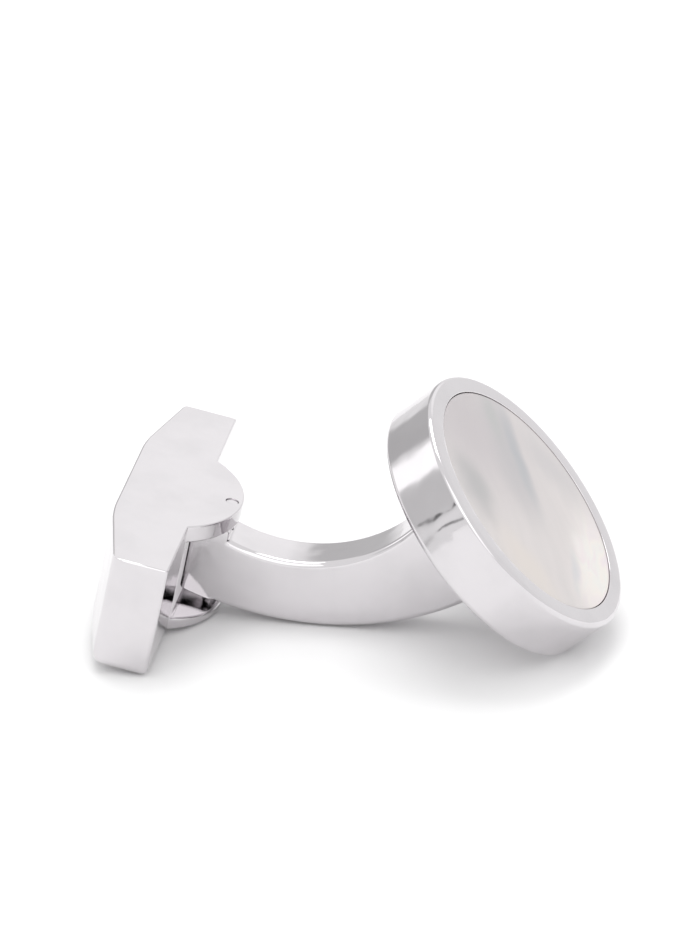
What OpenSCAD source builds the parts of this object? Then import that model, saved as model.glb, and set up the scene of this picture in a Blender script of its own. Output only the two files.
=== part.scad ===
// Round cufflink with a curved post and a swivel toggle, lying on a flat surface.
// Millimetres, +Z up, +X towards the round setting.

/* [Round setting] */
// Outer diameter of the round setting
disc_diameter = 17; // [14:0.1:20]
// Thickness of the round setting
disc_thickness = 3.6; // [2:0.1:5]
// Width of the flat rim around the inlay
rim_width = 1.14; // [0.5:0.02:2]
// Rounding of the rim's outer front edge
front_round = 0.3; // [0.1:0.05:0.6]
// Rounding of the outer back edge
back_round = 0.4; // [0.1:0.05:0.8]
// Angle of the setting's axis above the surface it lies on, before the roll
disc_tilt = 40.1; // [30:0.1:50]

/* [Inlay] */
// Thickness of the inlay plate
inlay_thickness = 0.9; // [0.5:0.05:1.5]
// How far the inlay's face stands below the rim
inlay_recess = 0.06; // [0:0.01:0.2]
// Gap around and under the inlay
inlay_gap = 0.04; // [0.02:0.01:0.1]

/* [Curved post] */
// Width of the post across its flat sides
post_width = 3; // [2.4:0.1:4]
// Radius of the post's hollow upper side
post_inner_radius = 9.15; // [7:0.05:12]
// Radius of the post's lower side, from its lowest point to the setting
post_root_radius = 17.5; // [13:0.05:22]
// Radius of the post's lower side, from its lowest point to its end
post_end_radius = 20; // [15:0.05:26]
// Rounding of the post's long edges
post_round = 0.35; // [0.1:0.05:0.6]
// Height of the lower side's lowest point, before the roll
post_lift = 0.18; // [0.15:0.01:0.6]
// Distance from the setting's lowest edge back to the lower side's lowest point
post_low_x = 14.7; // [12:0.05:18]
// Height of the hollow's lowest point, before the roll
hollow_lift = 4.2; // [3:0.05:5]
// Distance from the setting's lowest edge back to the hollow's lowest point
hollow_low_x = 15.8; // [13:0.05:18]

/* [Toggle] */
// Length of the toggle bar
toggle_length = 20.35; // [16:0.05:22]
// Height of the toggle along the hinge pin
toggle_height = 7.15; // [5:0.05:9]
// Thickness of the bar at the middle
toggle_middle = 4.5; // [3:0.05:5]
// Distance of the bar's outer knees from its middle, measured at their sharp corners
toggle_knee = 4.6; // [3:0.1:7]
// Slope of the bar's outer side between each knee and end
toggle_flare = 12.8; // [5:0.1:20]
// Rounding of each knee
knee_round = 8; // [3:0.5:12]
// Rounding of the bar's inner corners
toggle_round = 0.2; // [0.1:0.05:0.5]
// Rounding of the bar's outer corners
outer_round = 0.8; // [0.2:0.05:1.2]
// Slope of the toggle's lower side, before the roll
toggle_tilt = 11.9; // [5:0.1:20]
// Distance from the setting's lowest edge back to the bar's inner side
toggle_back_x = 23.35; // [20:0.05:27]

/* [Ears and pin] */
// Thickness of the upper ear
ear_thickness = 1.1; // [0.8:0.05:1.6]
// Thickness of the lower ear at the bar
ear_root = 1; // [0.8:0.05:1.6]
// Radius of the ears' outline
ear_radius = 5.2; // [4:0.1:6]
// How far the ears stand out from the bar
ear_reach = 2.4; // [2:0.05:3.2]
// Thickness of the lower ear at its tip, where its inner side has sloped down
ear_tip = 0.7; // [0.5:0.05:1.1]
// Depth of the slot that is sawn between the ears into the bar
slot_depth = 0.65; // [0.3:0.05:1]
// Radius of the saw that cuts the slot
slot_radius = 14.5; // [8:0.5:20]
// Distance from the bar's inner side to the pin's axis
pin_offset = 1.75; // [1.6:0.05:2.2]
// Diameter of the hinge pin
pin_diameter = 0.76; // [0.6:0.02:1.2]
// Running clearance of the pin in the post, on the radius
pin_clearance = 0.04; // [0.02:0.01:0.08]
// Gap between each ear and the post's end
ear_gap = 0.12; // [0.1:0.01:0.3]
// How far the post's end reaches past the pin's axis
nose_reach = 1.85; // [1.4:0.05:1.95]
// Rounding of the post's end, seen along the pin
nose_round = 0.3; // [0.25:0.05:1]
// How far the post's end keeps its full height past the pin's axis, towards the setting
knuckle_reach = 0.35; // [0:0.05:0.5]

/* [Hidden] */

disc_r = disc_diameter / 2;
inlay_r = disc_r - rim_width - inlay_gap;
pocket_r = disc_r - rim_width;
pocket_depth = inlay_recess + inlay_thickness + inlay_gap;
half_w = post_width / 2;
half_l = toggle_length / 2;
pin_r = pin_diameter / 2;

// the part lies on the lower ear's edge and on one end of the bar, so it is rolled to that side
slope = sin(toggle_tilt);
ear_turn = ear_radius - toggle_round;
end_turn = half_l - toggle_round;
offset_turn = ear_radius - ear_reach - toggle_round;
roll_a = end_turn * end_turn - ear_turn * ear_turn;
roll_b = end_turn * offset_turn * slope;
roll_c = (ear_turn * ear_turn - offset_turn * offset_turn) * slope * slope;
roll = atan((sqrt(roll_b * roll_b + roll_a * roll_c) - roll_b) / roll_a);

// heights at which the ear's edge and the setting's rounded edge just touch the surface
ear_drop = ear_radius * sqrt(slope * slope + tan(roll) * tan(roll));
toggle_lift = ear_drop - (ear_radius - ear_reach) * slope;
lean = sin(disc_tilt) * cos(roll);
edge_drop = (disc_r - back_round) * sqrt(1 - lean * lean) + back_round;
disc_lift = edge_drop / cos(roll) - back_round * sin(disc_tilt);

// the origin is under the middle of the rolled part's box
middle_x = -12.5617;
middle_y = -0.2283;

ears_in = ear_root;
ears_out = toggle_height - ear_thickness;

// the bar's outline: its knees and outer corners
end_s = toggle_middle - (half_l - toggle_knee) * tan(toggle_flare);
knee_in = toggle_knee - knee_round * tan(toggle_flare / 2);
knee_out = knee_in + knee_round * sin(toggle_flare);
knee_s = toggle_middle - knee_round * (1 - cos(toggle_flare));
corner_s = end_s + outer_round * tan(toggle_flare) - outer_round / cos(toggle_flare);
corner_y = half_l - outer_round;

module row() {
  translate([-middle_x, -middle_y, 0]) rotate([roll, 0, 0]) children();
}

// z runs along the setting's axis from its back face
module disc_frame() {
  translate([-disc_r * sin(disc_tilt), 0, disc_lift])
    rotate([0, 90 - disc_tilt, 0]) children();
}

// z runs along the hinge pin from the toggle's lower side, x towards the setting
module pin_frame() {
  translate([-toggle_back_x, 0, toggle_lift]) rotate([0, toggle_tilt, 0])
    translate([pin_offset, 0, 0]) children();
}

// a disc's half outline with its two outer corners rounded
module round_section(r, low, high, low_round, high_round) {
  difference() {
    translate([0, low]) square([r, high - low]);
    translate([r - low_round, low]) square([low_round + 1, low_round]);
    translate([r - high_round, high - high_round]) square([high_round + 1, high_round + 1]);
  }
  intersection() {
    translate([r - low_round, low + low_round]) circle(low_round, $fn = 32);
    translate([0, low]) square([r + 1, high - low]);
  }
  intersection() {
    translate([r - high_round, high - high_round]) circle(high_round, $fn = 32);
    translate([0, low]) square([r + 1, high - low]);
  }
}

module setting_disc() {
  difference() {
    rotate_extrude($fn = 160)
      round_section(disc_r, 0, disc_thickness, back_round, front_round);
    translate([0, 0, disc_thickness - pocket_depth])
      cylinder(h = pocket_depth + 1, r = pocket_r, $fn = 160);
  }
}

// everything outside the hollow upper side, its edges rounded
module above_hollow() {
  far = 30;
  rotate([90, 0, 0]) rotate_extrude($fn = 180) {
    translate([post_inner_radius + post_round, -half_w]) square([far, post_width]);
    translate([post_inner_radius, -half_w + post_round])
      square([far, post_width - 2 * post_round]);
    for (side = [-1, 1])
      translate([post_inner_radius + post_round, side * (half_w - post_round)])
        circle(post_round, $fn = 32);
  }
}

// everything inside the lower side, its edges rounded and its lowest point at the origin
module inside_belly() {
  for (part = [[post_root_radius, 0], [post_end_radius, -40]]) intersection() {
    translate([0, 0, part[0]]) rotate([90, 0, 0]) rotate_extrude($fn = 240)
      round_section(part[0], -half_w, half_w, post_round, post_round);
    translate([part[1], -5, -1]) cube([40, 10, 60]);
  }
}

// the post's end, seen along the pin
module nose_plan() {
  far = 40;
  difference() {
    translate([-nose_reach, -half_w]) square([far, post_width]);
    for (side = [-1, 1]) translate([-nose_reach, side * half_w])
      square(2 * nose_round, center = true);
  }
  for (side = [-1, 1])
    translate([nose_round - nose_reach, side * (half_w - nose_round)]) circle(nose_round, $fn = 32);
}

// the post's end around the pin, as high as the room between the ears
module knuckle() {
  pin_frame() translate([0, 0, ears_in + ear_gap])
    linear_extrude(ears_out - ears_in - 2 * ear_gap) translate([-5, -5]) square([5 + knuckle_reach, 10]);
}

module post() {
  difference() {
    intersection() {
      translate([-post_low_x, 0, post_lift]) inside_belly();
      pin_frame() translate([0, 0, -10]) linear_extrude(50) nose_plan();
      union() {
        intersection() {
          translate([-hollow_low_x, 0, hollow_lift + post_inner_radius]) above_hollow();
          disc_frame() translate([-15, -5, -30]) cube([30, 10, 30.6]);
          translate([-30, -5, -5]) cube([40, 10, 15.6]);
        }
        knuckle();
      }
    }
    pin_frame() translate([-5, -5, ears_out - ear_gap]) cube([10, 10, 20]);
    pin_frame() cylinder(h = 20, r = pin_r + pin_clearance, center = true, $fn = 48);
  }
}

module setting() {
  color([0.80, 0.79, 0.81]) row() {
    disc_frame() setting_disc();
    post();
  }
}

module inlay() {
  color([0.78, 0.75, 0.74]) row() disc_frame()
    translate([0, 0, disc_thickness - inlay_recess - inlay_thickness])
      cylinder(h = inlay_thickness, r = inlay_r, $fn = 160);
}

// half of the bar seen along the pin, its inner side at x = 0
module bar_half() {
  polygon([
    [0, 0],
    [0, half_l - toggle_round],
    [-toggle_round, half_l],
    [-corner_s, half_l],
    [-corner_s - outer_round * cos(toggle_flare), corner_y + outer_round * sin(toggle_flare)],
    [-knee_s, knee_out],
    [-toggle_middle, knee_in],
    [-toggle_middle, 0]
  ]);
  translate([-toggle_round, half_l - toggle_round]) circle(toggle_round, $fn = 32);
  translate([-corner_s, corner_y]) circle(outer_round, $fn = 48);
  intersection() {
    translate([knee_round - toggle_middle, knee_in]) circle(knee_round, $fn = 360);
    translate([-toggle_middle, knee_in]) square([1, knee_out - knee_in]);
  }
}

module bar_plan() {
  bar_half();
  mirror([0, 1]) bar_half();
}

module ear_plan() {
  intersection() {
    translate([ear_reach - ear_radius, 0]) circle(ear_radius, $fn = 160);
    translate([-0.6, -ear_radius]) square([ear_reach + 1, 2 * ear_radius]);
  }
}

// what the lower ear's sloping inner side leaves off
module ear_slope() {
  start = 0.1;
  fall = (ears_in - ear_tip) / (ear_reach - start);
  translate([0, 20, 0]) rotate([90, 0, 0]) linear_extrude(40) polygon([
    [start, ears_in],
    [ear_reach + 1, ears_in - (ear_reach + 1 - start) * fall],
    [ear_reach + 1, ears_in + 0.5],
    [start, ears_in + 0.5]
  ]);
}

module toggle() {
  color([0.80, 0.79, 0.81]) row() pin_frame() difference() {
    translate([-pin_offset, 0, 0]) difference() {
      union() {
        linear_extrude(toggle_height) bar_plan();
        linear_extrude(ear_root) ear_plan();
        translate([0, 0, ears_out]) linear_extrude(ear_thickness) ear_plan();
      }
      translate([slot_radius - slot_depth, 0, ears_in])
        cylinder(h = ears_out - ears_in, r = slot_radius, $fn = 360);
      ear_slope();
    }
    translate([0, 0, -1]) cylinder(h = toggle_height + 2, r = pin_r + 0.01, $fn = 48);
  }
}

module hinge_pin() {
  color([0.72, 0.71, 0.73]) row() pin_frame()
    translate([0, 0, 0.05]) cylinder(h = toggle_height - 0.1, r = pin_r, $fn = 48);
}

setting();
inlay();
toggle();
hinge_pin();
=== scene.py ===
"""Looks of a round cufflink: a polished setting with a pearl inlay, a curved post and a swivel toggle.

Each part is modelled in millimetres in its own frame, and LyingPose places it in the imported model's frame.
"""
import logging
import math
from collections.abc import Iterable
from dataclasses import dataclass, field
from enum import Enum

import bmesh
import bpy
from bmesh.types import BMesh, BMEdge, BMFace, BMVert
from bpy.types import Material, Node, NodeSocket, NodeTree, Object
from mathutils import Matrix, Vector


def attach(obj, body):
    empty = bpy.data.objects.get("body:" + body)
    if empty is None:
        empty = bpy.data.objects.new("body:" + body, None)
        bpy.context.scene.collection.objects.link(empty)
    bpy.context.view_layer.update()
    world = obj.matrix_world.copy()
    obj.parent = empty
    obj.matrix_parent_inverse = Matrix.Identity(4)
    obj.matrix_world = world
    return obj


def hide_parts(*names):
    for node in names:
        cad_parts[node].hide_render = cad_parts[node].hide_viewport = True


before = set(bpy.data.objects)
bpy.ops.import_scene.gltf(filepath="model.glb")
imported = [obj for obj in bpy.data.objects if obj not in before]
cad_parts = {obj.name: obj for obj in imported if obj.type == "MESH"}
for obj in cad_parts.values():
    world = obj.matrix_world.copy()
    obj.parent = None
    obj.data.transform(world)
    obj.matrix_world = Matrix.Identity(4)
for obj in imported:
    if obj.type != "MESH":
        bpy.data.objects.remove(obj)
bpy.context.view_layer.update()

LOG = logging.getLogger("cufflink")
# metres in a millimetre
MM = 0.001
# millimetres within which two points or two levels count as one
NEAR = 1e-4
# millimetres within which a corner counts as lying on a plane
ON_PLANE = 1e-3
# radians under which two faces count as one flat face
FLAT = 1e-3
# a face lies level where its normal is at least this much upright
LEVEL = 0.9
# degrees past which an edge gets its rounding
ROUNDED_TURN = 30
# degrees past which shading breaks at an edge
SHARP_TURN = 40
# degrees in a quarter turn
QUARTER = 90
# the profile with which a bevel is an arc
ARC_PROFILE = 0.5
# the axis of the arcs in outlines that are drawn in the XZ plane
ACROSS = (0, -1, 0)

Triple = tuple[float, float, float]
Feeds = dict[str | int, object]


class Slot(Enum):
    """The record's material slots."""

    METAL = "metal"
    PEARL = "pearl"


class Body(Enum):
    """The bodies that move."""

    SETTING = "setting_body"
    TOGGLE = "toggle_body"


class Step(Enum):
    """What is done to a solid with another one."""

    JOIN = "UNION"
    CUT = "DIFFERENCE"


# Frames


@dataclass(frozen=True)
class LyingPose:
    """How the cufflink lies on the surface, in millimetres and degrees.

    The setting's edge, the lower ear's edge and one end of the bar touch the surface, so it is rolled
    a little to that end's side.
    """

    disc_radius: float = 8.5
    back_round: float = 0.4
    # how far the face leans back from upright
    disc_tilt: float = 40.1
    half_length: float = 10.175
    # the rounding of the toggle's edges that the roll is worked out with
    toggle_round: float = 0.2
    ear_radius: float = 5.2
    # how far the ears stand out from the bar
    ear_reach: float = 2.4
    # the slope of the toggle's lower side, before the roll
    toggle_tilt: float = 11.9
    # from the setting's lowest edge back to the bar's inner side
    toggle_back: float = 23.35
    # from the bar's inner side to the pin's axis
    pin_offset: float = 1.75
    # the middle of the rolled part's box, which becomes the origin
    middle: tuple[float, float] = (-12.5617, -0.2283)

    def roll(self) -> float:
        """Works out the roll about X that brings the lower ear and the bar's end equally low.

        Returns:
            The roll, in radians.
        """
        slope = math.sin(math.radians(self.toggle_tilt))
        ear = self.ear_radius - self.toggle_round
        end = self.half_length - self.toggle_round
        offset = ear - self.ear_reach
        square = end**2 - ear**2
        linear = end * offset * slope
        constant = (ear**2 - offset**2) * slope**2
        return math.atan((math.sqrt(linear * linear + square * constant) - linear) / square)

    def toggle_lift(self) -> float:
        """Works out how high the bar's lower inner edge lies.

        Returns:
            Its height.
        """
        slope = math.sin(math.radians(self.toggle_tilt))
        drop = self.ear_radius * math.hypot(slope, math.tan(self.roll()))
        return drop - (self.ear_radius - self.ear_reach) * slope

    def disc_lift(self) -> float:
        """Works out how high the middle of the setting's back lies.

        Returns:
            Its height.
        """
        tilt = math.radians(self.disc_tilt)
        lean = math.sin(tilt) * math.cos(self.roll())
        drop = (self.disc_radius - self.back_round) * math.sqrt(1 - lean**2) + self.back_round
        return drop / math.cos(self.roll()) - self.back_round * math.sin(tilt)

    def row(self) -> Matrix:
        """Returns the frame in which the post is drawn, from millimetres to millimetres."""
        shift = Matrix.Translation((-self.middle[0], -self.middle[1], 0))
        return shift @ Matrix.Rotation(self.roll(), 4, "X")

    def disc(self) -> Matrix:
        """Returns the setting's frame, whose Z is its axis from the back face."""
        return self.row() @ self.disc_in_row()

    def disc_in_row(self) -> Matrix:
        """Stands the setting in the row.

        Returns:
            The setting's frame as seen from the row's frame.
        """
        back = self.disc_radius * math.sin(math.radians(self.disc_tilt))
        turn = Matrix.Rotation(math.radians(QUARTER - self.disc_tilt), 4, "Y")
        return Matrix.Translation((-back, 0, self.disc_lift())) @ turn

    def pin(self) -> Matrix:
        """Returns the hinge pin's frame, whose Z is the pin from the toggle's lower side."""
        return self.row() @ self.pin_in_row()

    def pin_in_row(self) -> Matrix:
        """Stands the hinge pin in the row.

        Returns:
            The pin's frame as seen from the row's frame.
        """
        turn = Matrix.Rotation(math.radians(self.toggle_tilt), 4, "Y")
        place = Matrix.Translation((-self.toggle_back, 0, self.toggle_lift()))
        return place @ turn @ Matrix.Translation((self.pin_offset, 0, 0))


# Mesh helpers


def sweep_arc(bm: BMesh, start: BMVert, centre: Vector, degrees: float, steps: int, axis: Triple) -> BMVert:
    """Draws an arc of edges from a vertex.

    Args:
        bm: the mesh that is drawn in.
        start: the vertex at the arc's start.
        centre: the arc's centre.
        degrees: how far it turns about the axis.
        steps: its number of edges.
        axis: the direction of the axis through the centre.

    Returns:
        The vertex at the arc's end.
    """
    made = bmesh.ops.spin(bm, geom=[start], cent=centre, axis=axis, angle=math.radians(degrees),
                          steps=steps)
    return next(item for item in made["geom_last"] if isinstance(item, BMVert))


def run_to(bm: BMesh, start: BMVert, point: Vector) -> BMVert:
    """Draws a straight edge.

    Args:
        bm: the mesh that is drawn in.
        start: the vertex that it starts at.
        point: where it ends.

    Returns:
        The vertex at its end.
    """
    end = bm.verts.new(point)
    bm.edges.new((start, end))
    return end


def extrude(bm: BMesh, faces: list[BMFace], way: Triple) -> None:
    """Extrudes faces by a distance along each axis.

    Args:
        bm: the mesh.
        faces: the faces that are raised.
        way: how far they go.
    """
    made = bmesh.ops.extrude_face_region(bm, geom=faces)
    moved = [item for item in made["geom"] if isinstance(item, BMVert)]
    bmesh.ops.translate(bm, vec=way, verts=moved)


def rod(radius: float, height: float, middle: Matrix, segments: int) -> BMesh:
    """Makes a round rod or plate.

    Args:
        radius: its radius.
        height: its length along Z.
        middle: the frame whose origin is its middle and whose Z is its axis.
        segments: the number of its sides.

    Returns:
        Its mesh, in millimetres.
    """
    bm = bmesh.new()
    bmesh.ops.create_cone(bm, cap_ends=True, segments=segments, radius1=radius, radius2=radius,
                          depth=height, matrix=middle)
    return bm


def weld(bm: BMesh) -> None:
    """Merges vertices that lie on each other and points all faces outwards."""
    bmesh.ops.remove_doubles(bm, verts=bm.verts[:], dist=NEAR)
    bmesh.ops.recalc_face_normals(bm, faces=bm.faces[:])


def turns_past(edge: BMEdge, degrees: float) -> bool:
    """Says if the two faces at an edge turn by more than an angle."""
    return len(edge.link_faces) == 2 and edge.calc_face_angle(0.0) > math.radians(degrees)


def round_edges(bm: BMesh, edges: Iterable[BMEdge], radius: float, segments: int) -> None:
    """Rounds these edges to a radius."""
    bmesh.ops.bevel(bm, geom=list(edges), offset=radius, offset_type="OFFSET", segments=segments,
                    profile=ARC_PROFILE, affect="EDGES", clamp_overlap=True, material=-1)


def to_object(bm: BMesh, name: str, place: Matrix | None = None) -> Object:
    """Turns a mesh in millimetres into an object at the origin.

    Args:
        bm: the mesh, which is freed.
        name: the piece's name.
        place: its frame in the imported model, in millimetres, or None to keep it in millimetres.

    Returns:
        The object, in metres where it has a place.
    """
    if place is not None:
        bmesh.ops.transform(bm, matrix=Matrix.Scale(MM, 4) @ place, verts=bm.verts[:])
    for face in bm.faces:
        face.smooth = True
    mesh = bpy.data.meshes.new(name)
    bm.to_mesh(mesh)
    bm.free()
    obj = bpy.data.objects.new(name, mesh)
    bpy.context.scene.collection.objects.link(obj)
    return obj


def finished_mesh(obj: Object) -> BMesh:
    """Applies an object's modifiers and removes the object.

    Args:
        obj: the object.

    Returns:
        Its finished mesh.
    """
    graph = bpy.context.evaluated_depsgraph_get()
    mesh = bpy.data.meshes.new_from_object(obj.evaluated_get(graph), depsgraph=graph)
    bm = bmesh.new()
    bm.from_mesh(mesh)
    bpy.data.meshes.remove(mesh)
    discard(obj)
    return bm


def discard(obj: Object) -> None:
    """Removes a helper object and its mesh.

    Args:
        obj: the helper object.
    """
    mesh = obj.data
    bpy.data.objects.remove(obj)
    bpy.data.meshes.remove(mesh)


def bevel_by_weight(obj: Object, width: float, segments: int) -> None:
    """Adds a bevel whose radius at each edge is a part of its width.

    Args:
        obj: the object, whose edges have a weight from 0 to 1.
        width: the radius at an edge of full weight.
        segments: the number of steps across each rounding.
    """
    bevel = obj.modifiers.new("rounding", "BEVEL")
    bevel.limit_method = "WEIGHT"
    bevel.offset_type = "OFFSET"
    bevel.width = width
    bevel.segments = segments
    bevel.profile = ARC_PROFILE
    bevel.use_clamp_overlap = False
    bevel.loop_slide = False


def keep_flats_flat(obj: Object) -> None:
    """Adds weighted normals, so that flat faces mirror flat up to their rounded edges.

    Args:
        obj: the finished piece.
    """
    normals = obj.modifiers.new("flat_normals", "WEIGHTED_NORMAL")
    normals.mode = "FACE_AREA"
    # the highest setting, at which large faces count the most
    normals.weight = 100
    normals.keep_sharp = True


def carve(blank: Object, tools: list[tuple[Object, Step]], name: str, place: Matrix) -> Object:
    """Joins helper objects to a solid or cuts them out, and sets the finished piece's shading.

    Args:
        blank: the solid, which is removed, as the helpers are.
        tools: the helpers in order, each with what is done.
        name: the piece's name.
        place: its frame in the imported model, in millimetres.

    Returns:
        The finished piece.
    """
    for tool, step in tools:
        modifier = blank.modifiers.new(step.name.lower(), "BOOLEAN")
        modifier.operation = step.value
        modifier.solver = "EXACT"
        modifier.object = tool
    bm = finished_mesh(blank)
    for tool, _step in tools:
        discard(tool)
    weld(bm)
    for edge in bm.edges:
        if turns_past(edge, SHARP_TURN):
            edge.smooth = False
    piece = to_object(bm, name, place)
    keep_flats_flat(piece)
    return piece


# Node helpers


def feed(tree: NodeTree, node: Node, feeds: Feeds) -> None:
    """Feeds a node's inputs.

    Args:
        tree: the node tree.
        node: the node.
        feeds: for each input's name or number, the socket or the plain value that it gets.
    """
    for name, source in feeds.items():
        if isinstance(source, NodeSocket):
            tree.links.new(source, node.inputs[name])
        else:
            node.inputs[name].default_value = source


def add(tree: NodeTree, kind: str, feeds: Feeds | None = None, **settings: object) -> Node:
    """Adds a node.

    Args:
        tree: the node tree.
        kind: the node's type.
        feeds: what its inputs get, as in feed.
        settings: its properties, which are set first.

    Returns:
        The node.
    """
    node = tree.nodes.new(kind)
    for key, value in settings.items():
        setattr(node, key, value)
    feed(tree, node, feeds or {})
    return node


def new_material(name: str) -> tuple[Material, NodeTree, Node]:
    """Makes a material.

    Args:
        name: its name.

    Returns:
        The material, its node tree and its Principled shader.
    """
    material = bpy.data.materials.new(name)
    material.use_nodes = True
    return material, material.node_tree, material.node_tree.nodes["Principled BSDF"]


# Materials


@dataclass(frozen=True)
class PolishMarks:
    """The faint cloudiness, hairlines and waves that polishing and handling leave on a surface."""

    haze_scale: float = 200.0
    haze_detail: float = 4.0
    haze_roughness: float = 0.55
    haze_range: tuple[float, float] = (0.38, 0.68)
    hairline_scale: float = 900.0
    hairline_detail: float = 2.0
    hairline_turn: Triple = (0.5, 0.3, 0.9)
    hairline_stretch: Triple = (1.0, 0.06, 1.0)
    wave_scale: float = 600.0
    wave_detail: float = 1.0

    def group(self) -> NodeTree:
        """Builds the shared group, in which each material may set its own scales.

        Returns:
            The group, with Haze, from 0 to 1, and two heights for Bump nodes: Height, which is the
            hairlines, and Waves.
        """
        tree = bpy.data.node_groups.new("polish_marks", "ShaderNodeTree")
        face = tree.interface
        face.new_socket("Vector", in_out="INPUT", socket_type="NodeSocketVector")
        for name, value in (("Haze Scale", self.haze_scale), ("Hairline Scale", self.hairline_scale),
                            ("Wave Scale", self.wave_scale)):
            face.new_socket(name, in_out="INPUT", socket_type="NodeSocketFloat").default_value = value
        for name in ("Haze", "Height", "Waves"):
            face.new_socket(name, in_out="OUTPUT", socket_type="NodeSocketFloat")
        start, end = add(tree, "NodeGroupInput"), add(tree, "NodeGroupOutput")
        cloud = add(tree, "ShaderNodeTexNoise", {
            "Vector": start.outputs["Vector"], "Scale": start.outputs["Haze Scale"],
            "Detail": self.haze_detail, "Roughness": self.haze_roughness})
        spread = add(tree, "ShaderNodeMapRange", {
            "Value": cloud.outputs["Fac"], "From Min": self.haze_range[0],
            "From Max": self.haze_range[1]}, interpolation_type="SMOOTHSTEP")
        stretch = add(tree, "ShaderNodeMapping", {
            "Vector": start.outputs["Vector"], "Rotation": self.hairline_turn,
            "Scale": self.hairline_stretch})
        lines = add(tree, "ShaderNodeTexNoise", {
            "Vector": stretch.outputs["Vector"], "Scale": start.outputs["Hairline Scale"],
            "Detail": self.hairline_detail})
        waves = add(tree, "ShaderNodeTexNoise", {
            "Vector": start.outputs["Vector"], "Scale": start.outputs["Wave Scale"],
            "Detail": self.wave_detail})
        feed(tree, end, {"Haze": spread.outputs["Result"], "Height": lines.outputs["Fac"],
                         "Waves": waves.outputs["Fac"]})
        return tree


def soft_patch_group() -> NodeTree:
    """Builds the shared group for one soft-edged oval patch of the pearl's colour, used for its figure and
    for its painted shade and painted highlights.

    Returns:
        The group, with Mask, 1 in the patch's middle and 0 outside it.
    """
    tree = bpy.data.node_groups.new("soft_patch", "ShaderNodeTree")
    for name in ("Vector", "Middle", "Turn", "Half Size"):
        tree.interface.new_socket(name, in_out="INPUT", socket_type="NodeSocketVector")
    tree.interface.new_socket("Mask", in_out="OUTPUT", socket_type="NodeSocketFloat")
    start, end = add(tree, "NodeGroupInput"), add(tree, "NodeGroupOutput")
    place = add(tree, "ShaderNodeMapping", {
        "Vector": start.outputs["Vector"], "Location": start.outputs["Middle"],
        "Rotation": start.outputs["Turn"], "Scale": start.outputs["Half Size"]}, vector_type="TEXTURE")
    length = add(tree, "ShaderNodeVectorMath", {0: place.outputs["Vector"]}, operation="LENGTH")
    fade = add(tree, "ShaderNodeMapRange", {
        "Value": length.outputs["Value"], "From Min": 1.0, "From Max": 0.0},
        interpolation_type="SMOOTHERSTEP")
    feed(tree, end, {"Mask": fade.outputs["Result"]})
    return tree


@dataclass(frozen=True)
class PolishedRhodium:
    """Rhodium plate, polished to a slightly wavy mirror, with a trace of haze."""

    name: str = "polished_rhodium"
    color: Triple = (0.695, 0.673, 0.69)
    haze_color: Triple = (0.66, 0.64, 0.656)
    haze_scale: float = 260.0
    clear: float = 0.06
    hazy: float = 0.12
    waviness: float = 0.8
    wave_height: float = 0.00005
    hairline_scale: float = 2600.0
    hairline_strength: float = 0.02
    hairline_height: float = 0.00002

    def build(self, marks: NodeTree) -> Material:
        """Builds the material.

        Args:
            marks: the shared group of polish marks.

        Returns:
            The material.
        """
        material, tree, shader = new_material(self.name)
        place = add(tree, "ShaderNodeTexCoord")
        group = add(tree, "ShaderNodeGroup", {
            "Vector": place.outputs["Object"], "Haze Scale": self.haze_scale,
            "Hairline Scale": self.hairline_scale}, node_tree=marks)
        rough = add(tree, "ShaderNodeMapRange", {
            "Value": group.outputs["Haze"], "To Min": self.clear, "To Max": self.hazy})
        tone = add(tree, "ShaderNodeMix", {
            "Factor": group.outputs["Haze"], "A": (*self.color, 1), "B": (*self.haze_color, 1)},
            data_type="RGBA")
        waves = add(tree, "ShaderNodeBump", {
            "Height": group.outputs["Waves"], "Strength": self.waviness, "Distance": self.wave_height})
        bump = add(tree, "ShaderNodeBump", {
            "Height": group.outputs["Height"], "Normal": waves.outputs["Normal"],
            "Strength": self.hairline_strength, "Distance": self.hairline_height})
        feed(tree, shader, {
            "Base Color": tone.outputs["Result"], "Roughness": rough.outputs["Result"],
            "Normal": bump.outputs["Normal"], "Metallic": 1.0})
        return material


@dataclass(frozen=True)
class Patch:
    """One soft oval patch of the pearl's colour, in the setting's frame in millimetres and degrees: most
    draw its figure, some are painted shade and painted highlights.
    """

    middle: tuple[float, float]
    turn: float
    half_size: tuple[float, float]
    strength: float


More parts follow.
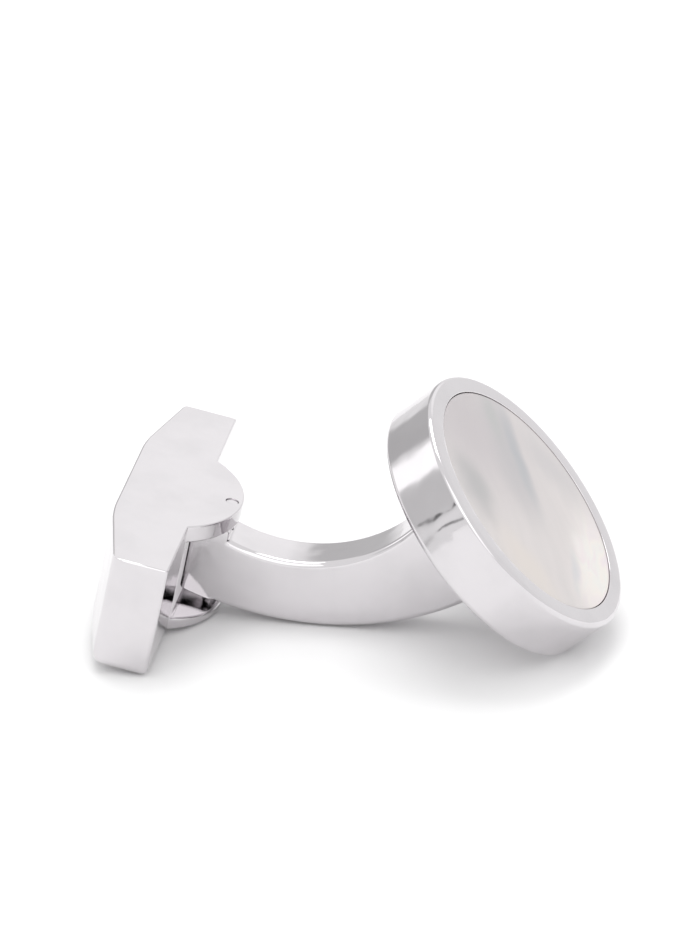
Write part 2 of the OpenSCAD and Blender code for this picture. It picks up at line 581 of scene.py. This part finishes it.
@dataclass(frozen=True)
class MotherOfPearl:
    """Polished shell: a warm gray ground, soft cool streaks and a patch with faint rainbow colours, with
    painted shade over its left side and painted highlights towards its right.
    """

    name: str = "mother_of_pearl"
    ground: Triple = (0.515, 0.487, 0.482)
    pale: Triple = (0.605, 0.56, 0.554)
    cloud_turn: float = -46
    cloud_size: Triple = (8.0, 1.2, 3.0)
    cloud_detail: float = 5.0
    wander_scale: float = 0.16
    wander_detail: float = 3.0
    wander_middle: Triple = (0.5, 0.5, 0.5)
    wander_reach: Triple = (2.6, 2.6, 0.0)
    patches: tuple[tuple[Patch, Triple], ...] = (
        # painted shade: the pearl's whole left side made darker
        (Patch((-5.5, 1.0), 0, (9.0, 8.5), 0.95), (0.448, 0.414, 0.426)),
        (Patch((1.0, 5.8), 0, (4.5, 2.6), 0.7), (0.459, 0.437, 0.448)),
        (Patch((1.8, -5.8), -10, (5.4, 2.6), 0.7), (0.605, 0.549, 0.504)),
        (Patch((-2.2, 2.2), -45, (7.2, 3.0), 0.9), (0.403, 0.386, 0.398)),
        (Patch((-1.6, 3.2), -46, (5.8, 1.2), 0.85), (0.353, 0.358, 0.381)),
        (Patch((-4.3, 3.9), -50, (2.8, 1.2), 0.7), (0.381, 0.386, 0.381)),
        (Patch((-3.8, -4.1), -34, (3.6, 2.2), 0.95), (0.364, 0.353, 0.358)),
        # painted highlight: a large bright patch towards the pearl's right
        (Patch((6.8, 1.4), -77, (7.0, 4.2), 2.2), (0.672, 0.627, 0.61)),
        (Patch((7.0, 0.6), -85, (5.2, 1.5), 0.7), (0.672, 0.582, 0.61)),
        # painted highlight: a small bright spot on the pearl
        (Patch((4.3, 1.2), -60, (1.8, 0.9), 0.7), (0.717, 0.717, 0.672)),
        (Patch((4.9, -1.6), -60, (2.8, 0.7), 0.8), (0.459, 0.476, 0.493)),
    )
    patch_depth: float = 100
    rainbow_patch: Patch = Patch((6.3, 1.0), -76, (6.8, 3.6), 1.1)
    band_turn: float = -72
    band_size: Triple = (4.2, 1.8, 3.0)
    band_scale: float = 1.3
    band_detail: float = 2.0
    band_swirl: float = 0.4
    bands: tuple[tuple[float, Triple], ...] = (
        (0.32, (0.644, 0.594, 0.633)),
        (0.44, (0.711, 0.644, 0.65)),
        (0.50, (0.739, 0.694, 0.65)),
        (0.57, (0.706, 0.694, 0.661)),
        (0.68, (0.706, 0.622, 0.638)),
    )
    roughness: float = 0.28
    haze_roughness: float = 0.36
    hairline_strength: float = 0.03
    hairline_height: float = 0.00005
    polish: float = 0.5
    polish_roughness: float = 0.06
    polish_ior: float = 1.5

    def build(self, patch_group: NodeTree, marks: NodeTree, disc: Matrix) -> Material:
        """Builds the material.

        Args:
            patch_group: the shared group of one soft patch.
            marks: the shared group of polish marks.
            disc: the setting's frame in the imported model, in millimetres.

        Returns:
            The material.
        """
        material, tree, shader = new_material(self.name)
        place = add(tree, "ShaderNodeTexCoord")
        vector = self.wandering(tree, place.outputs["Object"], disc)
        color = self.cloudy_ground(tree, vector)
        for patch, tint in self.patches:
            mask = self.mask(tree, patch_group, vector, patch)
            layer = add(tree, "ShaderNodeMix", {
                "Factor": mask, "A": color, "B": (*tint, 1)}, data_type="RGBA")
            color = layer.outputs["Result"]
        layer = add(tree, "ShaderNodeMix", {
            "Factor": self.mask(tree, patch_group, vector, self.rainbow_patch), "A": color,
            "B": self.rainbow(tree, vector)}, data_type="RGBA")
        group = add(tree, "ShaderNodeGroup", {"Vector": place.outputs["Object"]}, node_tree=marks)
        rough = add(tree, "ShaderNodeMapRange", {
            "Value": group.outputs["Haze"], "To Min": self.roughness, "To Max": self.haze_roughness})
        bump = add(tree, "ShaderNodeBump", {
            "Height": group.outputs["Height"], "Strength": self.hairline_strength,
            "Distance": self.hairline_height})
        feed(tree, shader, {
            "Base Color": layer.outputs["Result"], "Roughness": rough.outputs["Result"],
            "Normal": bump.outputs["Normal"], "Coat Weight": self.polish,
            "Coat Roughness": self.polish_roughness, "Coat IOR": self.polish_ior})
        return material

    def wandering(self, tree: NodeTree, position: NodeSocket, disc: Matrix) -> NodeSocket:
        """Turns a position into the setting's frame, in millimetres, and lets it wander a little.

        Args:
            tree: the material's tree.
            position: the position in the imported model, in metres.
            disc: the setting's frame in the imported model, in millimetres.

        Returns:
            The position that the figure is drawn by.
        """
        inverse = disc.inverted()
        flat = add(tree, "ShaderNodeMapping", {
            "Vector": position, "Scale": (1 / MM,) * 3, "Rotation": inverse.to_euler(),
            "Location": inverse.to_translation()})
        wander = add(tree, "ShaderNodeTexNoise", {
            "Vector": flat.outputs["Vector"], "Scale": self.wander_scale, "Detail": self.wander_detail})
        centred = add(tree, "ShaderNodeVectorMath", {
            0: wander.outputs["Color"], 1: self.wander_middle}, operation="SUBTRACT")
        pushed = add(tree, "ShaderNodeVectorMath", {
            0: centred.outputs["Vector"], 1: self.wander_reach,
            2: flat.outputs["Vector"]}, operation="MULTIPLY_ADD")
        return pushed.outputs["Vector"]

    def cloudy_ground(self, tree: NodeTree, vector: NodeSocket) -> NodeSocket:
        """Draws the cloudy ground along the growth lines.

        Args:
            tree: the material's tree.
            vector: the position that the figure is drawn by.

        Returns:
            The ground's colour.
        """
        along = add(tree, "ShaderNodeMapping", {
            "Vector": vector, "Rotation": (0, 0, math.radians(self.cloud_turn)),
            "Scale": self.cloud_size}, vector_type="TEXTURE")
        cloud = add(tree, "ShaderNodeTexNoise", {
            "Vector": along.outputs["Vector"], "Scale": 1.0, "Detail": self.cloud_detail})
        ground = add(tree, "ShaderNodeMix", {
            "Factor": cloud.outputs["Fac"], "A": (*self.ground, 1), "B": (*self.pale, 1)}, data_type="RGBA")
        return ground.outputs["Result"]

    def mask(self, tree: NodeTree, patch_group: NodeTree, vector: NodeSocket, patch: Patch) -> NodeSocket:
        """Places one patch.

        Args:
            tree: the material's tree.
            patch_group: the shared group of one soft patch.
            vector: the position that the figure is drawn by.
            patch: the patch.

        Returns:
            The patch's mask, at its strength.
        """
        group = add(tree, "ShaderNodeGroup", {
            "Vector": vector, "Middle": (*patch.middle, 0), "Turn": (0, 0, math.radians(patch.turn)),
            "Half Size": (*patch.half_size, self.patch_depth)}, node_tree=patch_group)
        fade = add(tree, "ShaderNodeMath", {
            0: group.outputs["Mask"], 1: patch.strength}, operation="MULTIPLY")
        return fade.outputs["Value"]

    def rainbow(self, tree: NodeTree, vector: NodeSocket) -> NodeSocket:
        """Draws faint bands of pink, cream and green.

        Args:
            tree: the material's tree.
            vector: the position that the figure is drawn by.

        Returns:
            The bands' colour.
        """
        fine = add(tree, "ShaderNodeMapping", {
            "Vector": vector, "Rotation": (0, 0, math.radians(self.band_turn)),
            "Scale": self.band_size}, vector_type="TEXTURE")
        bands = add(tree, "ShaderNodeTexNoise", {
            "Vector": fine.outputs["Vector"], "Scale": self.band_scale, "Detail": self.band_detail,
            "Distortion": self.band_swirl})
        ramp = add(tree, "ShaderNodeValToRGB", {"Fac": bands.outputs["Fac"]})
        stops = ramp.color_ramp.elements
        stops[0].position, stops[1].position = self.bands[0][0], self.bands[-1][0]
        for position, _tint in self.bands[1:-1]:
            stops.new(position)
        for stop, (_position, tint) in zip(stops, self.bands):
            stop.color = (*tint, 1)
        return ramp.outputs["Color"]


# The setting


@dataclass
class Cup:
    """The round cup, turned about its axis, in the setting's frame."""

    radius: float = 8.5
    thickness: float = 3.6
    back_round: float = 0.4
    front_round: float = 0.3
    pocket_radius: float = 7.36
    pocket_depth: float = 1.0
    lip_round: float = 0.05
    edge_steps: int = 10
    lip_steps: int = 4
    turn_steps: int = 256

    def mesh(self) -> BMesh:
        """Turns the cup from its half outline.

        Returns:
            The cup.
        """
        bm = bmesh.new()
        back = self.radius - self.back_round
        front = self.radius - self.front_round
        shoulder = self.thickness - self.front_round
        lip = self.pocket_radius + self.lip_round
        point = bm.verts.new((back, 0, 0))
        point = sweep_arc(bm, point, Vector((back, 0, self.back_round)), QUARTER, self.edge_steps, ACROSS)
        point = run_to(bm, point, Vector((self.radius, 0, shoulder)))
        point = sweep_arc(bm, point, Vector((front, 0, shoulder)), QUARTER, self.edge_steps, ACROSS)
        point = run_to(bm, point, Vector((lip, 0, self.thickness)))
        middle = Vector((lip, 0, self.thickness - self.lip_round))
        point = sweep_arc(bm, point, middle, QUARTER, self.lip_steps, ACROSS)
        run_to(bm, point, Vector((self.pocket_radius, 0, self.thickness - self.pocket_depth)))
        bmesh.ops.spin(bm, geom=bm.verts[:] + bm.edges[:], cent=(0, 0, 0), axis=(0, 0, 1),
                       angle=math.tau, steps=self.turn_steps, use_merge=True)
        rims = [edge for edge in bm.edges if edge.is_boundary]
        bmesh.ops.holes_fill(bm, edges=rims, sides=0)
        weld(bm)
        return bm


@dataclass
class Post:
    """The curved post between the setting's back and the toggle, drawn from the side in the row's frame."""

    width: float = 3.0
    # the hollow upper side is an arc about this middle, in X and Z
    hollow_radius: float = 9.15
    hollow_middle: tuple[float, float] = (-15.8, 13.35)
    # the lowest point of the lower side, where its two arcs meet
    belly_low: tuple[float, float] = (-14.7, 0.18)
    # the radii of the lower side towards the setting and towards the toggle
    root_radius: float = 17.5
    end_radius: float = 20.0
    # the level of the end's top along the pin
    upper_end: float = 5.93
    # how far the end reaches past the pin's axis
    nose_reach: float = 1.85
    nose_round: float = 0.3
    # how far the end keeps its full height past the pin's axis, towards the setting
    knuckle_reach: float = 0.35
    # how much further the edges get the end's rounding
    knuckle_margin: float = 0.15
    # how deep the post runs into the cup's back
    root_depth: float = 0.6
    # within this much of that depth edges stay sharp
    root_margin: float = 0.01
    long_round: float = 0.35
    end_round: float = 0.14
    end_steps: int = 24
    root_steps: int = 40
    hollow_steps: int = 64
    nose_steps: int = 6
    edge_steps: int = 5

    def mesh(self, pose: LyingPose) -> BMesh:
        """Builds the post with its nose rounded and its long edges weighted for a bevel.

        Args:
            pose: the frames of the setting and of the pin.

        Returns:
            The post.
        """
        bm = bmesh.new()
        self.draw_side(bm, pose)
        extrude(bm, bm.faces[:], (0, self.width, 0))
        bmesh.ops.recalc_face_normals(bm, faces=bm.faces[:])
        pin = pose.pin_in_row().inverted()
        nose = [edge for edge in bm.edges
                if all(abs((pin @ vert.co).x + self.nose_reach) < ON_PLANE for vert in edge.verts)
                and abs(edge.verts[0].co.y - edge.verts[1].co.y) < NEAR]
        round_edges(bm, nose, self.nose_round, self.nose_steps)
        self.weigh(bm, pin, pose.disc_in_row().inverted())
        return bm

    def draw_side(self, bm: BMesh, pose: LyingPose) -> None:
        """Draws the post's near side, as one face.

        Args:
            bm: the mesh that is drawn in.
            pose: the frames of the setting and of the pin.
        """
        side = Vector((0, -self.width / 2, 0))
        pin, disc = pose.pin_in_row(), pose.disc_in_row()
        low = Vector((self.belly_low[0], 0, self.belly_low[1]))
        by_root, by_end = low + Vector((0, 0, self.root_radius)), low + Vector((0, 0, self.end_radius))
        hollow = Vector((self.hollow_middle[0], 0, self.hollow_middle[1]))
        up = pin.to_3x3() @ Vector((0, 0, 1))
        knuckle = pin @ Vector((self.knuckle_reach, 0, 0))
        root, slant = disc @ Vector((0, 0, self.root_depth)), disc.to_3x3() @ Vector((1, 0, 0))
        tip = self.crossing(pin @ Vector((-self.nose_reach, 0, 0)), up, by_end, self.end_radius, far=False)
        low_root = self.crossing(root, slant, by_root, self.root_radius, far=True)
        high_root = self.crossing(root, slant, hollow, self.hollow_radius, far=True)
        step = self.crossing(knuckle, up, hollow, self.hollow_radius, far=False)
        end_turn, root_turn = self.turn(by_end, tip, low), self.turn(by_root, low, low_root)
        first = bm.verts.new(tip + side)
        point = sweep_arc(bm, first, by_end + side, end_turn, self.end_steps, ACROSS)
        point = sweep_arc(bm, point, by_root + side, root_turn, self.root_steps, ACROSS)
        point = run_to(bm, point, high_root + side)
        hollow_turn = self.turn(hollow, high_root, step)
        point = sweep_arc(bm, point, hollow + side, hollow_turn, self.hollow_steps, ACROSS)
        point = run_to(bm, point, pin @ Vector((self.knuckle_reach, 0, self.upper_end)) + side)
        point = run_to(bm, point, pin @ Vector((-self.nose_reach, 0, self.upper_end)) + side)
        bm.edges.new((point, first))
        bmesh.ops.remove_doubles(bm, verts=bm.verts[:], dist=NEAR)
        bmesh.ops.contextual_create(bm, geom=bm.edges[:])

    @staticmethod
    def crossing(point: Vector, way: Vector, middle: Vector, radius: float, far: bool) -> Vector:
        """Finds where a line meets a circle.

        Args:
            point: a point on the line.
            way: the line's direction, one millimetre long.
            middle: the circle's middle.
            radius: its radius.
            far: whether the far crossing is wanted, and not the first.

        Returns:
            The crossing.
        """
        offset = point - middle
        half = offset.dot(way)
        root = math.sqrt(half * half - offset.length_squared + radius * radius)
        return point + way * (-half + (root if far else -root))

    @staticmethod
    def turn(middle: Vector, start: Vector, end: Vector) -> float:
        """Returns the signed angle from start to end about -Y through the middle, in degrees."""
        old, new = start - middle, end - middle
        return math.degrees(math.atan2(old.x * new.z - old.z * new.x, old.x * new.x + old.z * new.z))

    def weigh(self, bm: BMesh, pin: Matrix, disc: Matrix) -> None:
        """Weighs the edges for the bevel: the long edges in full, those round the post's end less.

        Args:
            bm: the post.
            pin: from the row's frame to the pin's.
            disc: from the row's frame to the setting's.
        """
        weight = bm.edges.layers.float.new("bevel_weight_edge")
        for edge in bm.edges:
            if not turns_past(edge, ROUNDED_TURN):
                continue
            if all((disc @ vert.co).z > self.root_depth - self.root_margin for vert in edge.verts):
                continue
            crisp = self.knuckle_reach + self.knuckle_margin
            at_end = all((pin @ vert.co).x < crisp for vert in edge.verts)
            edge[weight] = self.end_round / self.long_round if at_end else 1.0


@dataclass
class Setting:
    """The cup and the post that is soldered to its back, as one piece."""

    pose: LyingPose
    cup: Cup = field(default_factory=Cup)
    post: Post = field(default_factory=Post)
    bore_radius: float = 0.42
    bore_length: float = 12
    bore_middle: float = 4
    bore_steps: int = 64

    def build(self) -> Object:
        """Builds the setting.

        Returns:
            The setting, in place.
        """
        cup = self.cup.mesh()
        bmesh.ops.transform(cup, matrix=self.pose.disc_in_row(), verts=cup.verts[:])
        blank = to_object(cup, "cup_blank")
        post = to_object(self.post.mesh(self.pose), "post_blank")
        bevel_by_weight(post, self.post.long_round, self.post.edge_steps)
        middle = self.pose.pin_in_row() @ Matrix.Translation((0, 0, self.bore_middle))
        cutter = to_object(rod(self.bore_radius, self.bore_length, middle, self.bore_steps), "bore_cutter")
        tools = [(post, Step.JOIN), (cutter, Step.CUT)]
        return carve(blank, tools, "polished_setting", self.pose.row())


# The inlay, the toggle and its pin


@dataclass
class RoundPiece:
    """A round plate or pin with rounded ends, along the Z of its own frame."""

    name: str
    radius: float
    low: float
    length: float
    edge_round: float
    segments: int
    edge_steps: int = 3

    def build(self, place: Matrix) -> Object:
        """Builds the piece.

        Args:
            place: the piece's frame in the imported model, in millimetres.

        Returns:
            The piece, in place.
        """
        middle = Matrix.Translation((0, 0, self.low + self.length / 2))
        bm = rod(self.radius, self.length, middle, self.segments)
        ends = [edge for edge in bm.edges if turns_past(edge, ROUNDED_TURN)]
        round_edges(bm, ends, self.edge_round, self.edge_steps)
        weld(bm)
        piece = to_object(bm, self.name, place)
        keep_flats_flat(piece)
        return piece


INLAY = RoundPiece("pearl_inlay", radius=7.32, low=2.64, length=0.9, edge_round=0.05, segments=256)
HINGE_PIN = RoundPiece("pivot_pin", radius=0.38, low=0.05, length=7.05, edge_round=0.06, segments=64)


@dataclass
class Toggle:
    """The bar with its two ears, in the pin's frame."""

    pose: LyingPose
    height: float = 7.15
    thickness: float = 4.5
    knee: float = 4.6
    flare: float = 12.8
    knee_round: float = 8.0
    inner_round: float = 0.2
    outer_round: float = 0.8
    ear_thickness: float = 1.1
    ear_root: float = 1.0
    ear_tip: float = 0.7
    slot_depth: float = 0.65
    slot_radius: float = 14.5
    lower_round: float = 0.5
    upper_round: float = 0.12
    ear_round: float = 0.18
    hole_radius: float = 0.39
    knee_steps: int = 14
    ear_steps: int = 72
    slot_steps: int = 720
    hole_steps: int = 64
    edge_steps: int = 8

    def build(self) -> Object:
        """Builds the toggle.

        Returns:
            The toggle, in place.
        """
        bm = self.blank()
        self.weigh(bm)
        self.slope_lower_ear(bm)
        bar = to_object(bm, "toggle_blank")
        bevel_by_weight(bar, self.outer_round, self.edge_steps)
        tools = [(cutter, Step.CUT) for cutter in self.cutters()]
        middle = Matrix.Translation((0, 0, self.height / 2))
        return carve(bar, tools, "polished_toggle", self.pose.pin() @ middle)

    def cutters(self) -> list[Object]:
        """Makes the saw for the slot between the ears and the drill for the pin.

        Returns:
            The saw and the drill.
        """
        room = self.height - self.ear_root - self.ear_thickness
        sawn = Vector((self.slot_radius - self.slot_depth - self.pose.pin_offset, 0,
                       (self.ear_root - self.ear_thickness) / 2))
        saw = rod(self.slot_radius, room, Matrix.Translation(sawn), self.slot_steps)
        drill = rod(self.hole_radius, 2 * self.height, Matrix.Identity(4), self.hole_steps)
        return [to_object(saw, "slot_saw"), to_object(drill, "hole_drill")]

    def slope_lower_ear(self, bm: BMesh) -> None:
        """Thins the lower ear from its root at the bar to its tip.

        Args:
            bm: the blank.
        """
        level = self.ear_thickness - self.height / 2
        fall = (self.ear_root - self.ear_tip) / self.pose.ear_reach
        for vert in bm.verts:
            if abs(vert.co.z - level) < NEAR:
                vert.co.z = self.ear_root - self.height / 2 - (vert.co.x + self.pose.pin_offset) * fall

    def blank(self) -> BMesh:
        """Builds the bar and ears with sharp long edges.

        Returns:
            Their mesh, centred on its mid-height.
        """
        bm = bmesh.new()
        bottom = -self.height / 2
        self.draw_plan(bm, bottom)
        extrude(bm, bm.faces[:], (0, 0, self.ear_thickness))
        bar = [face for face in self.level_faces(bm, bottom + self.ear_thickness)
               if face.calc_center_median().x < 0]
        extrude(bm, bar, (0, 0, self.height / 2 - self.ear_thickness))
        bmesh.ops.delete(bm, geom=[face for face in bar if face.is_valid], context="FACES_ONLY")
        bmesh.ops.delete(bm, geom=self.level_faces(bm, 0), context="FACES")
        bmesh.ops.mirror(bm, geom=bm.verts[:] + bm.edges[:] + bm.faces[:], merge_dist=NEAR, axis="Z")
        weld(bm)
        seams = [edge for edge in bm.edges
                 if len(edge.link_faces) == 2 and edge.calc_face_angle(1.0) < FLAT]
        bmesh.ops.dissolve_edges(bm, edges=seams, use_verts=True)
        bmesh.ops.recalc_face_normals(bm, faces=bm.faces[:])
        bmesh.ops.translate(bm, vec=(-self.pose.pin_offset, 0, 0), verts=bm.verts[:])
        return bm

    def draw_plan(self, bm: BMesh, bottom: float) -> None:
        """Draws the bar and one ear as seen along the pin, as two faces with the bar's inner side at X = 0.

        Args:
            bm: the mesh that is drawn in.
            bottom: the level that it is drawn at.
        """
        length, reach, ear = self.pose.half_length, self.pose.ear_reach, self.pose.ear_radius
        slope = math.tan(math.radians(self.flare))
        end = self.thickness - (length - self.knee) * slope
        root = math.sqrt(ear**2 - (ear - reach) ** 2)
        corners = ((0, -root), (0, root), (0, length), (-end, length), (-self.thickness, self.knee),
                   (-self.thickness, -self.knee), (-end, -length), (0, -length))
        points = [bm.verts.new((x, y, bottom)) for x, y in corners]
        knees = points[4:6]
        bm.faces.new(points)
        knee = self.knee_round * math.tan(math.radians(self.flare / 2))
        bmesh.ops.bevel(bm, geom=knees, offset=knee, offset_type="OFFSET", segments=self.knee_steps,
                        profile=ARC_PROFILE, affect="VERTICES", clamp_overlap=False, material=-1)
        centre = Vector((reach - ear, 0, bottom))
        sweep = 2 * math.degrees(math.asin(root / ear))
        last = sweep_arc(bm, points[1], centre, sweep, self.ear_steps, (0, 0, -1))
        bmesh.ops.weld_verts(bm, targetmap={last: points[0]})
        outline = [edge for edge in bm.edges if edge.is_wire]
        shared = bm.edges.get((points[0], points[1]))
        bmesh.ops.contextual_create(bm, geom=outline + [shared])
        bmesh.ops.recalc_face_normals(bm, faces=bm.faces[:])

    @staticmethod
    def level_faces(bm: BMesh, height: float) -> list[BMFace]:
        """Returns the faces that lie level at a height."""
        return [face for face in bm.faces
                if abs(face.calc_center_median().z - height) < NEAR and abs(face.normal.z) > LEVEL]

    def weigh(self, bm: BMesh) -> None:
        """Weighs the edges for the bevel: round underneath, crisp on top, between them on the ears.

        Args:
            bm: the blank.
        """
        weight = bm.edges.layers.float.new("bevel_weight_edge")
        half = self.height / 2
        radii = ((-half, self.lower_round), (half, self.upper_round),
                 (self.ear_thickness - half, self.ear_round), (half - self.ear_thickness, self.ear_round))
        for edge in bm.edges:
            if not turns_past(edge, ROUNDED_TURN):
                continue
            for level, radius in radii:
                if all(abs(vert.co.z - level) < NEAR for vert in edge.verts):
                    edge[weight] = radius / self.outer_round
            at_end = all(abs(vert.co.y) > self.pose.half_length - ON_PLANE for vert in edge.verts)
            if at_end and edge[weight] == 0:
                outer = edge.verts[0].co.x < -self.thickness / 2 - self.pose.pin_offset
                edge[weight] = (self.outer_round if outer else self.inner_round) / self.outer_round


# The studio


@dataclass(frozen=True)
class Card:
    """A soft round card far off in the studio: its direction and its inner and outer angle, in degrees."""

    azimuth: float
    height: float
    inner: float
    outer: float
    strength: float

    def way(self) -> Vector:
        """Returns the direction that it lies in."""
        turn, rise = math.radians(self.azimuth), math.radians(self.height)
        return Vector((math.cos(turn) * math.cos(rise), math.sin(turn) * math.cos(rise), math.sin(rise)))


@dataclass(frozen=True)
class Softbox:
    """A square lamp that points at the cufflink, in millimetres."""

    name: str
    at: Triple
    size: float
    radiance: float


@dataclass
class Studio:
    """A white floor, soft light and the camera, in millimetres."""

    camera_at: Triple = (65.533, -361.621, 168.01)
    looks_at: Triple = (-0.771, -0.145, 10.082)
    lens: float = 357.35
    sensor: float = 36.0
    sight_range: tuple[float, float] = (10, 20000)
    floor_reach: float = 3000
    floor_color: Triple = (0.94, 0.94, 0.94)
    floor_roughness: float = 0.9
    floor_gloss: float = 0.1
    room_light: float = 0.98
    cards: tuple[Card, ...] = (
        Card(143, 20, 13, 22, 0.60),
        Card(113, 17, 10, 18, 0.64),
        Card(-152, 18, 8, 20, 0.73),
        Card(180, 26, 7, 13, 1.52),
        Card(82, 31, 8, 19, 1.18),
        Card(-139, 12, 0.3, 1.7, 0.1),
        Card(-130, 5, 0.3, 1.5, 0.27),
        Card(-80, 27, 10, 26, 1.50),
    )
    softboxes: tuple[Softbox, ...] = (
        Softbox("front_softbox", (0, -960, 1150), 1000, 0.62),
        Softbox("top_softbox", (-100, 430, 1400), 800, 2.7),
    )

    def build(self) -> None:
        """Builds the floor, the lights and the camera."""
        self.floor()
        self.sky()
        for softbox in self.softboxes:
            self.hang(softbox)
        self.camera()
        bpy.context.scene.view_settings.view_transform = "Standard"

    def floor(self) -> None:
        """Lays a plain white floor."""
        bm = bmesh.new()
        bmesh.ops.create_grid(bm, x_segments=1, y_segments=1, size=self.floor_reach)
        floor = to_object(bm, "white_floor", Matrix.Identity(4))
        material, tree, shader = new_material("floor_white")
        feed(tree, shader, {"Base Color": (*self.floor_color, 1), "Roughness": self.floor_roughness,
                            "Specular IOR Level": self.floor_gloss})
        floor.data.materials.append(material)

    def sky(self) -> None:
        """Surrounds the scene with white light that is dimmer or brighter at the soft cards."""
        world = bpy.data.worlds.new("white_room")
        world.use_nodes = True
        bpy.context.scene.world = world
        tree = world.node_tree
        place = add(tree, "ShaderNodeTexCoord")
        strength = self.room_light
        for card in self.cards:
            along = add(tree, "ShaderNodeVectorMath", {
                0: place.outputs["Generated"], 1: card.way()}, operation="DOT_PRODUCT")
            mask = add(tree, "ShaderNodeMapRange", {
                "Value": along.outputs["Value"], "From Min": math.cos(math.radians(card.outer)),
                "From Max": math.cos(math.radians(card.inner))}, interpolation_type="SMOOTHERSTEP")
            mix = add(tree, "ShaderNodeMix", {
                "Factor": mask.outputs["Result"], "A": strength, "B": card.strength}, data_type="FLOAT")
            strength = mix.outputs["Result"]
        feed(tree, tree.nodes["Background"], {"Color": (1, 1, 1, 1), "Strength": strength})

    @staticmethod
    def hang(softbox: Softbox) -> None:
        """Hangs a lamp, whose power is its radiance times pi times its area.

        Args:
            softbox: the lamp's place, size and radiance.
        """
        light = bpy.data.lights.new(softbox.name, "AREA")
        light.shape = "SQUARE"
        light.size = softbox.size * MM
        light.energy = softbox.radiance * math.pi * (softbox.size * MM) ** 2
        lamp = bpy.data.objects.new(softbox.name, light)
        lamp.location = Vector(softbox.at) * MM
        lamp.rotation_euler = (-lamp.location).to_track_quat("-Z", "Y").to_euler()
        bpy.context.scene.collection.objects.link(lamp)

    def camera(self) -> None:
        """Stands the camera at the photograph's viewing angle."""
        data = bpy.data.cameras.new("camera")
        data.lens = self.lens
        data.sensor_width = self.sensor
        data.sensor_fit = "HORIZONTAL"
        data.clip_start, data.clip_end = (distance * MM for distance in self.sight_range)
        camera = bpy.data.objects.new("camera", data)
        camera.location = Vector(self.camera_at) * MM
        way = Vector(self.looks_at) - Vector(self.camera_at)
        camera.rotation_euler = way.to_track_quat("-Z", "Y").to_euler()
        bpy.context.scene.collection.objects.link(camera)
        bpy.context.scene.camera = camera


def place(piece: Object, material: Material, slot: Slot, body: Body, *nodes: str) -> None:
    """Dresses a piece and puts it in the frame.

    Args:
        piece: the finished piece.
        material: its finish.
        slot: the record's slot of that finish; not used.
        body: the body that it moves with.
        nodes: the CAD nodes that it stands for.
    """
    piece.data.materials.append(material)
    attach(piece, body.value)
    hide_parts(*nodes)
    LOG.info("%s: %d faces", piece.name, len(piece.data.polygons))


def main() -> None:
    """Builds the cufflink and the studio."""
    logging.basicConfig(level=logging.INFO, format="%(message)s")
    Studio().build()
    pose = LyingPose()
    marks, patch = PolishMarks().group(), soft_patch_group()
    rhodium = PolishedRhodium().build(marks)
    pearl = MotherOfPearl().build(patch, marks, pose.disc())
    place(Setting(pose).build(), rhodium, Slot.METAL, Body.SETTING, "setting")
    place(INLAY.build(pose.disc()), pearl, Slot.PEARL, Body.SETTING, "inlay")
    place(Toggle(pose).build(), rhodium, Slot.METAL, Body.TOGGLE, "toggle")
    place(HINGE_PIN.build(pose.pin()), rhodium, Slot.METAL, Body.TOGGLE, "hinge_pin")


if __name__ == "__main__":
    main()
